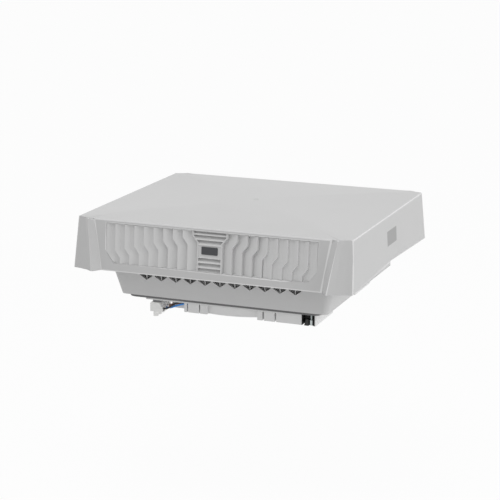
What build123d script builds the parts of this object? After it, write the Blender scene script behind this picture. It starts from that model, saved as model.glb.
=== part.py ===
from build123d import *
from math import atan, cos, hypot, radians, sin, sqrt, tan
import os

os.makedirs("parts", exist_ok=True)

# Roof fan for an enclosure. Millimetres, +Z up, front faces -Y.
# The origin is the middle of the roof plane on which the gasket sits.

# Hood
hood_width = 400.0
hood_depth = 342.0
hood_base = 46.0
hood_height = 70.1
hood_crown = 6.2
hood_wall = 3.0
post_proud = 13.5
front_half = 173.5
front_lean = 6.0
hood_clear = 0.25
over = 1.0
side_notch = 6.0
lip_height = 8.0
lip_side = 1.6
hood_lean = 4.0
corner_lean = 9.8
post_foot = (43.0, 11.5)
post_ridge = (33.0, 11.0, 15.0)
post_hollow = ((24.0, 7.0, 7.4, 12.4), (12.0, 1.5, 2.8, 10.5))

# Louvre relief
ridge_first = 25.0
ridge_pitch = 14.1
ridge_count = 10
ridge_land = 0.8
groove_depth = 5.5
steep_run = 1.0
relief_back = 7.5
relief_set = 0.3
kink_shift = 7.4
kink_drop = 9.8
kink_first = 59.7
kink_step = 3.85
window_half = 150.5
window_top = 65.4
window_low = 11.0
window_kink = 26.0
window_corner = 12.5
window_inset = 10.0
frame_wall = 1.5
slat_pitch = 6.8
plate_top = 47.2
plate_low = 30.1
plate_set = 1.3
badge_width = 23.0
badge_height = 10.4
badge_middle = 40.1
badge_thick = 1.0
flange_lap = 3.5
flange_thick = 2.0

# Base tray
tray_width = 301.0
tray_depth = 255.0
tray_base = 3.0
tray_top = 52.0
tray_flare = 0.267
tray_wall = 3.0
tray_floor = 2.5
tray_corner = 7.0
tray_corner_grow = 6.0
vent_pitch = 21.6
vent_count = 11
vent_side_count = 9
vent_tip = 27.7
vent_half = 7.4
vent_shoulder = 9.0
vent_rise = 5.2
vent_step = 1.2
vent_top = 48.0
vent_rib = 1.2
rib_set = 0.5
rib_bite = 1.0
boss_x = 177.0
boss_y = 139.0
ear_radius = 7.5
ear_thick = 3.0
ear_root = 22.0
ear_top = 51.0
pin_radius = 2.5
pin_hole = 2.8
pin_length = 4.5
boss_radius = 5.0
rest_gap = 0.2

# Gasket and collar
gasket_width = 281.0
gasket_depth = 254.0
gasket_corner = 12.0
collar_width = 265.0
collar_depth = 243.0
collar_low = -16.0
ring_low = -3.5
recess_wall = 2.5
strip_recess = (34.0, 68.0)
block_slits = (4.8, 11.2)
seat_gap = 0.1
duct_outer = 118.0
duct_wall = 2.5
duct_top = 34.0
duct_lip = 5.0
duct_ear = 6.0
ear_circle = 125.0
ear_start = 45.0
ear_number = 4
lip_thick = 2.5
block_inner_x = 49.0
block_inner_y = 49.0
slit_first = 57.6
slit_second = 75.2
slit_width = 2.3
slit_depth = 7.0
left_block_out = 58.0
left_block_in = 24.0
left_block_back = 103.0
recess_left = 83.0
channel_front = 119.0
channel_back = 106.0
channel_end = 34.0
corners = ((1, -1), (1, 1), (-1, 1))

# Corner clamps
clamp_x = 124.75
clamp_y = 115.0
guide_half = 5.4
guide_reach = 11.2
guide_wall = 0.8
slot_half = 2.9
screw_radius = 2.5
screw_hole = 2.8
screw_low = -16.6
head_radius = 4.5
head_height = 2.8
socket_radius = 1.9
socket_depth = 1.6
nut_radius = 3.5
nut_low = -16.2
nut_top = -9.2
nut_bore = 2.55
jaw_low = -16.8
jaw_step = -8.0
jaw_top = -6.9
jaw_half = 4.7
jaw_reach = 9.4
jaw_shoulder = 5.8

# Fan and motor
impeller_tip = 113.0
hub_radius = 42.5
hub_inner = 38.1
hub_wall = 2.6
hub_low = 2.0
hub_top = 28.5
blade_count = 7
blade_middle = 17.0
blade_thick = 3.0
blade_camber = 3.0
blade_root = (33.0, 52.0, 36.0, 0.0)
blade_inner = (60.0, 40.0, 44.0, 6.0)
blade_outer = (88.0, 31.0, 54.0, 15.0)
blade_end = (118.0, 25.0, 62.0, 28.0)
guard_z = -13.0
wire_radius = 1.25
spoke_radius = 1.9
spoke_z = -10.4
spoke_start = 21.6
spoke_count = 6
guard_pitch = 13.0
guard_first = 45.0
guard_rings = 5
centre_radius = 36.0
centre_thick = 2.0
centre_hole = 7.0
plate_base = -9.5
motor_circle = 24.0
motor_screw_count = 3
motor_start = 0.0
lug_reach = 8.0
lug_half = 6.0
lug_pad = 4.8
lug_top = spoke_z - spoke_radius
lug_count = 3
lug_start = 30.0
lug_circle = 110.5
small_screw = 1.7
screw_play = 0.2
head_scale = 1.9
drive_scale = 0.9
head_rise = 1.2 * small_screw
frame_screw_low = -2.6
notch_lead = 243.2
notch_angle = 246.9
notch_wide = 12.5
lead_notch = (8.0, 14.0)
notch_low = -10.0
notch_high = -2.6
flange_radius = 32.5
flange_height = 3.0
tube_outer = 9.0
tube_inner = 6.5
tube_top = 22.0
core_radius = 32.0
core_low = 4.0
core_high = 16.0
core_poles = 12
pole_width = 4.0
pole_hub = 15.0
pole_shoe = 12.0
slot_radius = 28.5
coil_over = 2.6
coil_in = 18.5
coil_out = 27.5
coil_width = 8.6
shaft_radius = 3.0
shaft_low = -6.5
shaft_top = 25.8
bearing_width = 5.0
bearing_low = -3.4
ring_gap = 0.3
ring_thick = 0.8
ring_in = 2.5
ring_out = 1.0
ring_rim = 1.8
ring_mouth = (4.0, 2.4)
cup_outer = 38.0
cup_wall = 2.0
cup_low = 2.0
cup_top = 25.8
magnet_thick = 2.6
run_gap = 0.05

# Connection
block_y_low = -121.0
block_y_high = -91.0
block_x_low = -109.5
block_x_high = -91.0
block_top = -7.1
block_bottom = -20.2
block_slope = 5.0
block_fall = 8.5
block_edge = 1.5
strip_groove = (6.0, 1.6)
term_slot = (0.8, 6.0)
term_sink = 1.5
term_play = 0.3
pole_pitch = 10.0
pole_count = 3
tower_radius = 3.6
tower_x = -103.0
tower_low = -27.2
term_screw_radius = 2.0
clamp_bar_half = 2.3
plate_thick = 3.4
lead_radius = 1.2
wire_z = -17.0
wire_bore = 1.5
clamp_bar_low = -107.5
clamp_bar_long = 14.5
peg_radius = 1.5
bracket_left = -107.0
bracket_right = -95.0
bracket_front = -119.0
bracket_back = -76.0
bracket_margin = 6.0


def mirrored(quarter):
    """Return a closed outline from the points of its right front quarter."""
    right = [(x, -y) for x, y in quarter] + [(x, y) for x, y in reversed(quarter)]
    left = [(-x, y) for x, y in reversed(right)]
    return right + left


def inset(points, step):
    """Return a closed outline moved inwards by the given step."""
    moved = []
    total = len(points)
    for index in range(total):
        x0, y0 = points[index - 1]
        x1, y1 = points[index]
        x2, y2 = points[(index + 1) % total]
        ax, ay = x1 - x0, y1 - y0
        bx, by = x2 - x1, y2 - y1
        la, lb = hypot(ax, ay), hypot(bx, by)
        nax, nay = -ay / la, ax / la
        nbx, nby = -by / lb, bx / lb
        scale = step / (1.0 + nax * nbx + nay * nby)
        moved.append((x1 + (nax + nbx) * scale, y1 + (nay + nby) * scale))
    return moved


def hood_outline(height):
    """Return the hood's outer outline at a height above its bottom edge."""
    share = height / hood_height
    half = hood_width / 2
    side = hood_depth / 2
    foot_in, foot_lean = post_foot
    ridge_in, ridge_lean, ridge_drop = post_ridge
    quarter = [
        (half - foot_in + foot_lean * share, front_half - front_lean * share),
        (half - ridge_in + ridge_lean * share, side + post_proud - ridge_drop * share),
    ]
    for point_in, lean_x, proud, lean_y in post_hollow:
        quarter.append((half - point_in + lean_x * share, side + proud - lean_y * share))
    quarter.append((half - hood_lean * share, side - corner_lean * share))
    return mirrored(quarter)


def scaled(points, factor):
    """Return an outline scaled about the middle."""
    return [(x * factor, y * factor) for x, y in points]


outer_low = hood_outline(0)
outer_high = hood_outline(hood_height)
inner_low = inset(hood_outline(-over), hood_wall)
flange_top = hood_height - hood_wall - 2 * hood_clear
inner_high = inset(hood_outline(hood_height - hood_wall), hood_wall)
hood_top = hood_base + hood_height
crown_steps = 5

# Plane of the hood's front wall, seen from the front: X right, Y up the slope
lean_angle = atan(front_lean / hood_height)
front_plane = Plane(
    origin=(0, -front_half, hood_base),
    x_dir=(1, 0, 0),
    z_dir=(0, -cos(lean_angle), sin(lean_angle)),
)
window_points = [
    (-window_half + window_inset, window_low),
    (window_half - window_inset, window_low),
    (window_half - window_inset, window_corner),
    (window_half, window_kink),
    (window_half, window_top),
    (-window_half, window_top),
    (-window_half, window_kink),
    (-window_half + window_inset, window_corner),
]

with BuildPart() as window_cutter:
    with BuildSketch(front_plane.offset(-3.0 * hood_wall)):
        with BuildLine():
            Polyline(*window_points, close=True)
        make_face()
    extrude(amount=6.0 * hood_wall)

with BuildPart() as hood:
    with BuildSketch(Plane.XY.offset(hood_base)):
        with BuildLine():
            Polyline(*outer_low, close=True)
        make_face()
    with BuildSketch(Plane.XY.offset(hood_top)):
        with BuildLine():
            Polyline(*outer_high, close=True)
        make_face()
    loft(ruled=True)
    for step in range(crown_steps):
        low_scale = 1.0 - step / crown_steps
        high_scale = max(1.0 - (step + 1) / crown_steps, 0.02)
        with BuildSketch(Plane.XY.offset(hood_top + hood_crown * (1 - low_scale**2))):
            with BuildLine():
                Polyline(*scaled(outer_high, low_scale), close=True)
            make_face()
        with BuildSketch(Plane.XY.offset(hood_top + hood_crown * (1 - high_scale**2))):
            with BuildLine():
                Polyline(*scaled(outer_high, high_scale), close=True)
            make_face()
        loft(ruled=True)
    with BuildSketch(Plane.XY.offset(hood_base - over)):
        with BuildLine():
            Polyline(*inner_low, close=True)
        make_face()
    with BuildSketch(Plane.XY.offset(hood_top - hood_wall)):
        with BuildLine():
            Polyline(*inner_high, close=True)
        make_face()
    loft(ruled=True, mode=Mode.SUBTRACT)
    with BuildSketch(Plane.XY.offset(hood_top - hood_wall)):
        with BuildLine():
            Polyline(*inner_high, close=True)
        make_face()
    with BuildSketch(Plane.XY.offset(hood_top + hood_crown - 1.5 * hood_wall)):
        with BuildLine():
            Polyline(*scaled(inner_high, 0.3), close=True)
        make_face()
    loft(ruled=True, mode=Mode.SUBTRACT)
    add(window_cutter.part, mode=Mode.SUBTRACT)
    add(mirror(window_cutter.part, about=Plane.XZ), mode=Mode.SUBTRACT)
    with BuildSketch(Plane.YZ):
        with BuildLine():
            Polyline(
                (-hood_depth / 2, hood_base - over),
                (-hood_depth / 2, hood_base),
                (0, hood_base + side_notch),
                (hood_depth / 2, hood_base),
                (hood_depth / 2, hood_base - over),
                close=True,
            )
        make_face()
    extrude(amount=hood_width, both=True, mode=Mode.SUBTRACT)
    with BuildSketch(Plane.XY.offset(hood_base)):
        for side in (-1, 1):
            with Locations((side * (hood_width / 2 - hood_wall + lip_side / 2), -side * hood_depth / 4)):
                Rectangle(lip_side, hood_depth / 2 - hood_wall)
    extrude(amount=lip_height)
    with BuildSketch(Plane.XY.offset(ear_top + rest_gap)):
        with GridLocations(2 * boss_x, 2 * boss_y, 2, 2):
            Circle(boss_radius)
    extrude(amount=hood_top - ear_top - 0.5 * hood_wall)
    with BuildSketch(Plane.XY.offset(ear_top - pin_length)):
        with GridLocations(2 * boss_x, 2 * boss_y, 2, 2):
            Circle(pin_radius)
    extrude(amount=pin_length + 2 * rest_gap)
hood.part.label = "hood"

# Louvre relief, drawn flat in the plane of the front wall: Z points outwards
slope_run = kink_step / ridge_pitch
comb_tilt = sqrt(1.0 + slope_run**2)
comb_plane = Plane(
    origin=(ridge_first, kink_first, 0),
    x_dir=(1, -slope_run, 0),
    z_dir=(-slope_run, -1, 0),
)


def comb_point(x, depth):
    """Return the comb plane's coordinates of a point at X and at a depth."""
    return ((x - ridge_first) * comb_tilt, -depth)


comb_front = [comb_point(ridge_first - frame_wall, relief_set)]
for index in range(ridge_count):
    ridge = ridge_first + index * ridge_pitch
    comb_front.append(comb_point(ridge, relief_set))
    comb_front.append(comb_point(ridge + steep_run, groove_depth))
    comb_front.append(comb_point(ridge + ridge_pitch - ridge_land, relief_set))
comb_end = ridge_first + ridge_count * ridge_pitch
comb_back = [comb_point(comb_end, relief_back), comb_point(ridge_first - frame_wall, relief_back)]
comb_face = [(u, v) for u, v in comb_front + comb_back]
comb_second = Plane(
    origin=(ridge_first - kink_shift, kink_first - kink_drop, 0),
    x_dir=(1, -slope_run, 0),
    z_dir=(-slope_run, -1, 0),
)
comb_long = 2.0 * window_top
kink_length = hypot(kink_shift, kink_drop)
probe = comb_plane.to_local_coords(Vector(ridge_first, kink_first, 1.0))
depth_sign = 1.0 if probe.Y > 0 else -1.0
comb_face = [(u, v * depth_sign) for u, v in comb_face]

panel_half = ridge_first - frame_wall
panel_low = panel_half - kink_shift
panel_points = [
    (panel_low, window_low - 2.0),
    (panel_low, kink_first - kink_drop),
    (panel_half, kink_first),
    (panel_half, window_top + 2.0),
]
panel_points = panel_points + [(-x, y) for x, y in reversed(panel_points)]

slat_edges = [window_top, plate_top + 2 * slat_pitch - relief_set, plate_top + slat_pitch, plate_top]
slat_profile = [(window_top + 2.0, relief_back), (window_top + 2.0, relief_set)]
for index in range(3):
    above = slat_edges[index]
    below = slat_edges[index + 1]
    slat_profile.append((above, relief_set))
    slat_profile.append((above - steep_run, groove_depth))
    slat_profile.append((below + ridge_land, relief_set))
slat_profile.append((plate_top, relief_set))
slat_profile.append((plate_top - steep_run, plate_set))
slat_profile.append((plate_low + steep_run, plate_set))
low_edges = [plate_low, plate_low - slat_pitch, plate_low - 2 * slat_pitch, window_low - 2.0]
slat_profile.append((plate_low, relief_set))
for index in range(3):
    above = low_edges[index]
    below = low_edges[index + 1]
    if index > 0:
        slat_profile.append((above, relief_set))
    slat_profile.append((above - steep_run, groove_depth))
    slat_profile.append((below + ridge_land, relief_set))
slat_profile.append((window_low - 2.0, relief_back))

with BuildPart() as panel_slats:
    with BuildSketch(Plane.YZ):
        with BuildLine():
            Polyline(*[(v, -depth) for v, depth in slat_profile], close=True)
        make_face()
    extrude(amount=panel_half + 1.0, both=True)
    with BuildSketch(Plane.XY.offset(-2 * relief_back)):
        with BuildLine():
            Polyline(*panel_points, close=True)
        make_face()
    extrude(amount=3 * relief_back, mode=Mode.INTERSECT)

with BuildPart() as louvre_flat:
    with BuildSketch(comb_plane):
        with BuildLine():
            Polyline(*comb_face, close=True)
        make_face()
    extrude(amount=comb_long, dir=(0, 1, 0))
    with BuildSketch(comb_plane):
        with BuildLine():
            Polyline(*comb_face, close=True)
        make_face()
    extrude(amount=kink_length, dir=(-kink_shift, -kink_drop, 0))
    with BuildSketch(comb_second):
        with BuildLine():
            Polyline(*comb_face, close=True)
        make_face()
    extrude(amount=comb_long, dir=(0, -1, 0))
    mirror(about=Plane.YZ)
    add(panel_slats.part)
    with BuildSketch(Plane.XY.offset(-2 * relief_back)):
        with BuildLine():
            Polyline(*window_points, close=True)
        make_face()
        offset(amount=-hood_clear, mode=Mode.REPLACE)
    extrude(amount=3 * relief_back, mode=Mode.INTERSECT)
    with BuildSketch(Plane.XY.offset(-hood_wall - seat_gap - flange_thick)):
        with BuildLine():
            Polyline(*window_points, close=True)
        make_face()
        offset(amount=flange_lap, mode=Mode.REPLACE)
        with Locations((0, flange_top + window_top)):
            Rectangle(hood_width, 2 * window_top, mode=Mode.SUBTRACT)
        with Locations((0, (window_low + window_top) / 2)):
            Rectangle(window_half, window_top - window_low - 2.0, mode=Mode.SUBTRACT)
    extrude(amount=flange_thick)

with BuildPart() as louvre_front:
    with Locations(front_plane.location):
        add(louvre_flat.part)
louvre_front.part.label = "louvre_front"

with BuildPart() as louvre_rear:
    add(mirror(louvre_front.part, about=Plane.XZ))
louvre_rear.part.label = "louvre_rear"

badge_plane = front_plane.offset(-plate_set)
with BuildPart() as name_badge:
    with BuildSketch(badge_plane):
        with Locations((0, badge_middle)):
            RectangleRounded(badge_width, badge_height, 1.0)
    extrude(amount=badge_thick)
name_badge.part.label = "name_badge"

# Base tray
tray_grow = 2 * tray_flare * (tray_top - tray_base)
floor_grow = 2 * tray_flare * tray_floor
floor_top = tray_base + tray_floor


def ear(side_x, side_y):
    """Draw one corner ear's outline in the open sketch."""
    with Locations((side_x * boss_x, side_y * boss_y)):
        Circle(ear_radius)
    with Locations((side_x * (boss_x - ear_root / 2), side_y * boss_y)):
        Rectangle(ear_root, 2 * ear_radius)


def vent_points(shift):
    """Return the outline of one vent at a distance along its wall."""
    right = [
        (vent_half, vent_tip + vent_rise),
        (vent_shoulder, vent_tip + vent_rise + vent_step),
        (vent_shoulder, vent_top),
    ]
    left = [(-x, z) for x, z in reversed(right)]
    return [(x + shift, z) for x, z in [(0, vent_tip)] + right + left]


front_shifts = [(index - (vent_count - 1) / 2) * vent_pitch for index in range(vent_count)]
side_shifts = [(index - (vent_side_count - 1) / 2) * vent_pitch for index in range(vent_side_count)]
vent_middle = (vent_tip + vent_top) / 2
rib_height = vent_top - vent_tip + 2 * rib_bite

with BuildPart() as rib_bars:
    with BuildSketch(Plane.XZ):
        with Locations(*[(shift, vent_middle) for shift in front_shifts]):
            Rectangle(vent_rib, rib_height)
    extrude(amount=tray_depth, both=True)
    with BuildSketch(Plane.YZ):
        with Locations(*[(shift, vent_middle) for shift in side_shifts]):
            Rectangle(vent_rib, rib_height)
    extrude(amount=tray_width, both=True)

with BuildPart() as vent_ribs:
    for scale, way in ((rib_set, Mode.ADD), (1.0, Mode.SUBTRACT)):
        with BuildSketch(Plane.XY.offset(floor_top)):
            RectangleRounded(
                tray_width + floor_grow - 2 * scale * tray_wall,
                tray_depth + floor_grow - 2 * scale * tray_wall,
                tray_corner,
            )
        with BuildSketch(Plane.XY.offset(tray_top)):
            RectangleRounded(
                tray_width + tray_grow - 2 * scale * tray_wall,
                tray_depth + tray_grow - 2 * scale * tray_wall,
                tray_corner,
            )
        loft(mode=way)
    add(rib_bars.part, mode=Mode.INTERSECT)

with BuildPart() as base_tray:
    with BuildSketch(Plane.XY.offset(tray_base)):
        RectangleRounded(tray_width, tray_depth, tray_corner)
    with BuildSketch(Plane.XY.offset(tray_top)):
        RectangleRounded(tray_width + tray_grow, tray_depth + tray_grow, tray_corner + tray_corner_grow)
    loft()
    with BuildSketch(Plane.XY.offset(floor_top)):
        RectangleRounded(
            tray_width + floor_grow - 2 * tray_wall,
            tray_depth + floor_grow - 2 * tray_wall,
            tray_corner - tray_wall + 0.5,
        )
    with BuildSketch(Plane.XY.offset(tray_top)):
        RectangleRounded(
            tray_width + tray_grow - 2 * tray_wall,
            tray_depth + tray_grow - 2 * tray_wall,
            tray_corner + tray_corner_grow - tray_wall,
        )
    loft(mode=Mode.SUBTRACT)
    with BuildSketch(Plane.XZ):
        for shift in front_shifts:
            with BuildLine():
                Polyline(*vent_points(shift), close=True)
            make_face()
    extrude(amount=tray_depth, both=True, mode=Mode.SUBTRACT)
    with BuildSketch(Plane.YZ):
        for shift in side_shifts:
            with BuildLine():
                Polyline(*vent_points(shift), close=True)
            make_face()
    extrude(amount=tray_width, both=True, mode=Mode.SUBTRACT)
    add(vent_ribs.part)
    with BuildSketch(Plane.XY.offset(ear_top - ear_thick)):
        for side_x in (-1, 1):
            for side_y in (-1, 1):
                ear(side_x, side_y)
    extrude(amount=ear_thick)
    with BuildSketch(Plane.XY.offset(ear_top - 2 * ear_thick)):
        with GridLocations(2 * boss_x, 2 * boss_y, 2, 2):
            Circle(pin_hole)
    extrude(amount=3 * ear_thick, mode=Mode.SUBTRACT)
    with BuildSketch(Plane.XY.offset(tray_base - over)):
        Circle(duct_outer + 2 * hood_clear)
        with PolarLocations(ear_circle, ear_number, start_angle=ear_start):
            Circle(small_screw + screw_play)
        for side_x, side_y in corners:
            with Locations((side_x * clamp_x, side_y * clamp_y)):
                Circle(screw_hole)
    extrude(amount=tray_floor + 2 * over, mode=Mode.SUBTRACT)
base_tray.part.label = "base_tray"

with BuildPart() as roof_gasket:
    with BuildSketch(Plane.XY):
        RectangleRounded(gasket_width, gasket_depth, gasket_corner)
        Rectangle(collar_width + 1.0, collar_depth + over, mode=Mode.SUBTRACT)
    extrude(amount=tray_base)
roof_gasket.part.label = "roof_gasket"

block_mid_x = (block_x_low + block_x_high) / 2

# Collar: a low ring under the tray with blocks that reach down at the corners
pocket_half = guide_half + guide_wall + seat_gap
pocket_reach = guide_reach + guide_wall + seat_gap
pocket_shift = (pocket_half - pocket_reach) / 2
half_w = collar_width / 2
half_d = collar_depth / 2
pocket_deep = half_d - clamp_y + pocket_half + over
guide_deep = half_d - clamp_y + guide_half
duct_clear = duct_outer + 2 * hood_clear

block_long_x = half_w - block_inner_x
block_long_y = half_d - block_inner_y
left_block_mid = -(left_block_out + left_block_in) / 2
with BuildPart() as mounting_collar:
    with BuildSketch(Plane.XY):
        Rectangle(collar_width, collar_depth)
        with Locations((-half_w, -half_d)):
            Rectangle(*strip_recess, mode=Mode.SUBTRACT)
        Circle(duct_clear, mode=Mode.SUBTRACT)
    extrude(amount=tray_base)
    with BuildSketch(Plane.XY.offset(ring_low)):
        Rectangle(collar_width, collar_depth)
        with Locations((-half_w, -half_d)):
            Rectangle(*strip_recess, mode=Mode.SUBTRACT)
        for side_x, side_y in corners:
            with Locations((side_x * half_w, side_y * half_d)):
                Rectangle(2 * block_long_x, 2 * block_long_y, mode=Mode.SUBTRACT)
        Circle(duct_clear, mode=Mode.SUBTRACT)
    extrude(amount=-ring_low)
    with BuildSketch(Plane.XY.offset(ring_low)):
        with Locations((left_block_mid, -(half_d + left_block_back) / 2)):
            Rectangle(left_block_out - left_block_in, half_d - left_block_back)
        with Locations((-(left_block_out + recess_left) / 2, -left_block_back - recess_wall / 2)):
            Rectangle(recess_left - left_block_out, recess_wall)
        Circle(duct_clear, mode=Mode.SUBTRACT)
    extrude(amount=collar_low - ring_low)
    with BuildSketch(Plane.XY.offset(collar_low - over)):
        for slit_x in (left_block_out - block_slits[0], left_block_in + block_slits[1]):
            with Locations((-slit_x, -half_d)):
                Rectangle(0.7 * slit_width, 2 * slit_depth)
    extrude(amount=ring_low - collar_low + over, mode=Mode.SUBTRACT)
    with BuildSketch(Plane.XY.offset(notch_low)):
        with Locations((-(left_block_out + channel_end) / 2, -(channel_front + channel_back) / 2)):
            Rectangle(left_block_out - channel_end + 4 * over, channel_front - channel_back)
    extrude(amount=ring_low - notch_low, mode=Mode.SUBTRACT)
    with BuildSketch(Plane.XY.offset(collar_low - over)):
        with PolarLocations(ear_circle, ear_number, start_angle=ear_start):
            Circle(small_screw)
        with Locations((block_mid_x, bracket_back - bracket_margin)):
            Circle(small_screw)
        for side_x, side_y in corners:
            with Locations((side_x * clamp_x, side_y * clamp_y)):
                Circle(screw_hole)
    extrude(amount=tray_base - collar_low + 2 * over, mode=Mode.SUBTRACT)
mounting_collar.part.label = "mounting_collar"

# One block under each corner but the strip's, with a clamp's pocket in it
block_parts = []
for index, (side_x, side_y) in enumerate(corners):
    with BuildPart() as corner_block:
        with BuildSketch(Plane.XY.offset(collar_low)):
            with Locations((side_x * (half_w - block_long_x / 2), side_y * (half_d - block_long_y / 2))):
                Rectangle(block_long_x - 2 * seat_gap, block_long_y - 2 * seat_gap)
            Circle(duct_clear, mode=Mode.SUBTRACT)
        extrude(amount=-collar_low - seat_gap)
        with BuildSketch(Plane.XY.offset(collar_low - over)):
            for slit_x in (slit_first, slit_second):
                with Locations((side_x * slit_x, side_y * (half_d - slit_depth / 2 + over))):
                    Rectangle(slit_width, slit_depth + 2 * over)
        extrude(amount=ring_low - collar_low + over, mode=Mode.SUBTRACT)
        with BuildSketch(Plane.XY.offset(collar_low - over)):
            middle_x = side_x * (clamp_x + pocket_shift)
            with Locations((middle_x, side_y * (clamp_y - pocket_half + pocket_deep / 2))):
                Rectangle(pocket_half + pocket_reach, pocket_deep)
            with PolarLocations(ear_circle, ear_number, start_angle=ear_start):
                Circle(small_screw)
        extrude(amount=over - collar_low, mode=Mode.SUBTRACT)
    corner_block.part.label = "corner_block_" + str(index + 1)
    block_parts.append(corner_block.part)

with BuildPart() as fan_duct:
    with BuildSketch(Plane.XY.offset(collar_low)):
        Circle(duct_outer)
        Circle(duct_outer - duct_wall, mode=Mode.SUBTRACT)
    extrude(amount=duct_top - collar_low)
    with BuildSketch(Plane.XY.offset(floor_top + seat_gap)):
        Circle(duct_outer + duct_lip)
        with PolarLocations(ear_circle, ear_number, start_angle=ear_start):
            Circle(duct_ear)
        Circle(duct_outer - duct_wall, mode=Mode.SUBTRACT)
        with PolarLocations(ear_circle, ear_number, start_angle=ear_start):
            Circle(small_screw + screw_play, mode=Mode.SUBTRACT)
    extrude(amount=lip_thick)
    with BuildSketch(Plane.XY.offset(collar_low)):
        with PolarLocations(duct_outer - duct_wall - lug_reach / 2, lug_count, start_angle=lug_start):
            Rectangle(lug_reach + 2.0, 2 * lug_half)
    extrude(amount=lug_top - collar_low)
    with BuildSketch(Plane.XY.offset(collar_low - over)):
        with PolarLocations(lug_circle, lug_count, start_angle=lug_start):
            Circle(small_screw)
    extrude(amount=lug_top - collar_low + 2 * over, mode=Mode.SUBTRACT)
    with BuildSketch(Plane.XY.offset(notch_low)):
        with PolarLocations(duct_outer, 1, start_angle=notch_angle):
            Rectangle(4 * duct_wall, notch_wide)
    extrude(amount=notch_high - notch_low, mode=Mode.SUBTRACT)
fan_duct.part.label = "fan_duct"


with BuildPart() as frame_screws:
    with BuildSketch(Plane.XY.offset(floor_top + seat_gap + lip_thick)):
        with PolarLocations(ear_circle, ear_number, start_angle=ear_start):
            Circle(head_scale * small_screw)
            RegularPolygon(drive_scale * small_screw, 6, mode=Mode.SUBTRACT)
    extrude(amount=head_rise)
    with BuildSketch(Plane.XY.offset(frame_screw_low)):
        with PolarLocations(ear_circle, ear_number, start_angle=ear_start):
            Circle(small_screw)
    extrude(amount=floor_top + seat_gap + lip_thick - frame_screw_low)
frame_screws.part.label = "frame_screws"

# Linings of the clamp pockets
with BuildPart() as clamp_guides:
    with BuildSketch(Plane.XY.offset(collar_low)):
        for side_x, side_y in corners:
            middle_x = side_x * (clamp_x + pocket_shift)
            with Locations((middle_x, side_y * (clamp_y - guide_half + (guide_deep - guide_wall) / 2))):
                Rectangle(guide_half + guide_reach + 2 * guide_wall, guide_deep + guide_wall)
            with Locations((middle_x, side_y * (clamp_y - guide_half + guide_deep / 2))):
                Rectangle(guide_half + guide_reach, guide_deep, mode=Mode.SUBTRACT)
    extrude(amount=-collar_low - seat_gap)
clamp_guides.part.label = "clamp_guides"

# Corner clamps, one jaw and nut on each screw
with BuildPart() as screw_shape:
    with BuildSketch(Plane.XY.offset(floor_top + seat_gap)):
        Circle(head_radius)
    extrude(amount=head_height)
    with BuildSketch(Plane.XY.offset(screw_low)):
        Circle(screw_radius)
    extrude(amount=floor_top - screw_low + 1.0)
    with BuildSketch(Plane.XY.offset(floor_top + seat_gap + head_height - socket_depth)):
        RegularPolygon(socket_radius, 6)
    extrude(amount=head_height, mode=Mode.SUBTRACT)

with BuildPart() as nut_shape:
    with BuildSketch(Plane.XY.offset(nut_low)):
        Circle(nut_radius)
        Circle(nut_bore, mode=Mode.SUBTRACT)
    extrude(amount=nut_top - nut_low)

jaw_profile = [
    (-jaw_half, jaw_low),
    (jaw_reach, jaw_low),
    (jaw_shoulder, jaw_top),
    (-jaw_half, jaw_top),
]

with BuildPart() as jaw_shape:
    with BuildSketch(Plane.XZ):
        with BuildLine():
            Polyline(*[(-u, z) for u, z in jaw_profile], close=True)
        make_face()
    extrude(amount=jaw_half, both=True)
    with BuildSketch(Plane.XY.offset(jaw_low - over)):
        Circle(jaw_half)
        with Locations((-jaw_reach, 0)):
            Rectangle(2 * jaw_reach, 2 * jaw_half)
    extrude(amount=jaw_top - jaw_low + 2 * over, mode=Mode.INTERSECT)
    with BuildSketch(Plane.XY.offset(jaw_step)):
        with Locations((0, -jaw_half / 2 - 1.0)):
            Rectangle(4 * jaw_reach, jaw_half + 6.0)
    extrude(amount=jaw_top - jaw_step + over, mode=Mode.SUBTRACT)
    with BuildSketch(Plane.XY.offset(jaw_low - over)):
        Circle(nut_radius + run_gap)
        with Locations((0, -jaw_half)):
            Rectangle(2 * slot_half, 2 * jaw_half)
    extrude(amount=jaw_top - jaw_low + 2 * over, mode=Mode.SUBTRACT)

jaw_flipped = mirror(jaw_shape.part, about=Plane.XZ)
clamp_parts = []
for index, (side_x, side_y) in enumerate(corners):
    spot = Location((side_x * clamp_x, side_y * clamp_y, 0))
    screw_node = screw_shape.part.moved(spot)
    screw_node.label = "clamp_screw_" + str(index + 1)
    nut_node = nut_shape.part.moved(spot)
    nut_node.label = "clamp_nut_" + str(index + 1)
    jaw_base = jaw_shape.part if side_x * side_y < 0 else jaw_flipped
    jaw_turn = Location((0, 0, 0), (0, 0, 180.0 if side_x < 0 else 0.0))
    jaw_node = jaw_base.moved(jaw_turn).moved(spot)
    jaw_node.label = "clamp_jaw_" + str(index + 1)
    clamp_parts.extend([screw_node, nut_node, jaw_node])

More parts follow.
